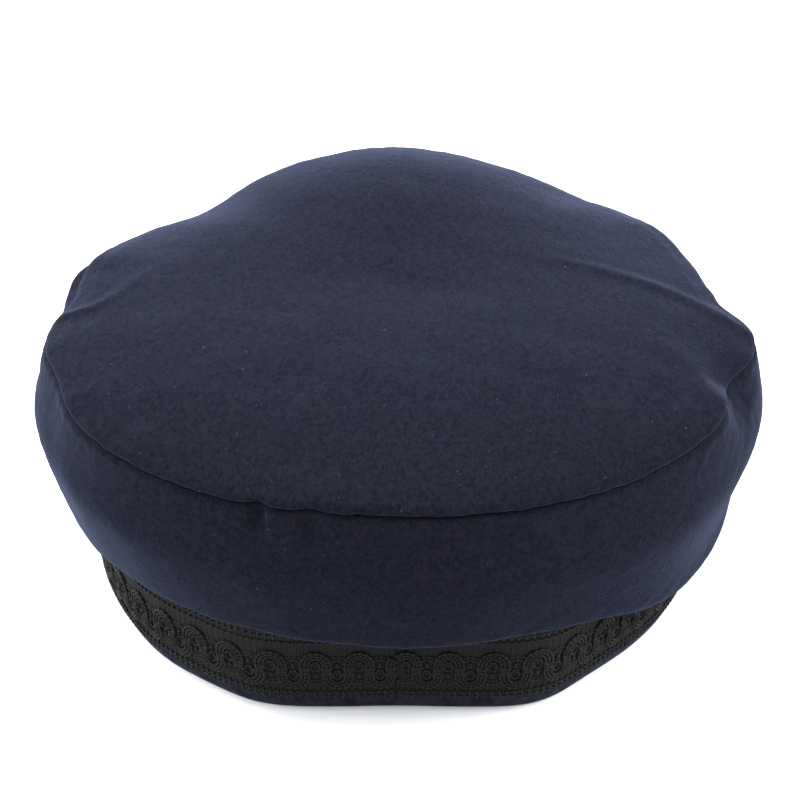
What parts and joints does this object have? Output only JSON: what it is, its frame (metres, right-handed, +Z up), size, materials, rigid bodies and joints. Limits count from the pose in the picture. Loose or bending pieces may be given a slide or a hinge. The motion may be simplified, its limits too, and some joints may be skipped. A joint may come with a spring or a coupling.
{
  "type": "beret",
  "caption": "Round brimless navy wool cap: full overhanging crown seamed to its side ring, black scroll braid round the headband, lined, with a sweatband.",
  "frame": {"origin": "middle of the cap in plan, at the height of the headband's lower edge, which the cap rests on", "axes": "+Z up through the crown; +Y towards the front of the cap, -Y towards the back, where the braid's ends meet; +X to the wearer's right"},
  "size_m": [0.2337, 0.234, 0.101],
  "materials": {
    "wool": "brushed navy wool melton",
    "canvas": "plain woven canvas",
    "buckram": "stiffened open weave",
    "braid": "black corded scroll braid",
    "sweatband": "black ribbed ribbon",
    "lining": "navy satin",
    "label": "plain woven satin tape",
    "thread": "twisted sewing thread"
  },
  "bodies": {
    "root": {"crown_tip": "wool", "crown_side_rear": "wool", "crown_side_front": "wool", "tip_interlining": "canvas", "headband_shell": "wool", "headband_stiffener": "buckram", "braid_trim": "braid", "sweatband": "sweatband", "lining_tip": "lining", "lining_side": "lining", "lining_label": "label", "care_label": "label", "size_label": "label", "tip_seam_thread": "thread", "side_seam_thread_left": "thread", "side_seam_thread_right": "thread", "band_join_thread": "thread", "braid_thread_upper": "thread", "braid_thread_lower": "thread", "sweatband_thread": "thread", "lining_seam_thread": "thread"}
  },
  "joints": []
}
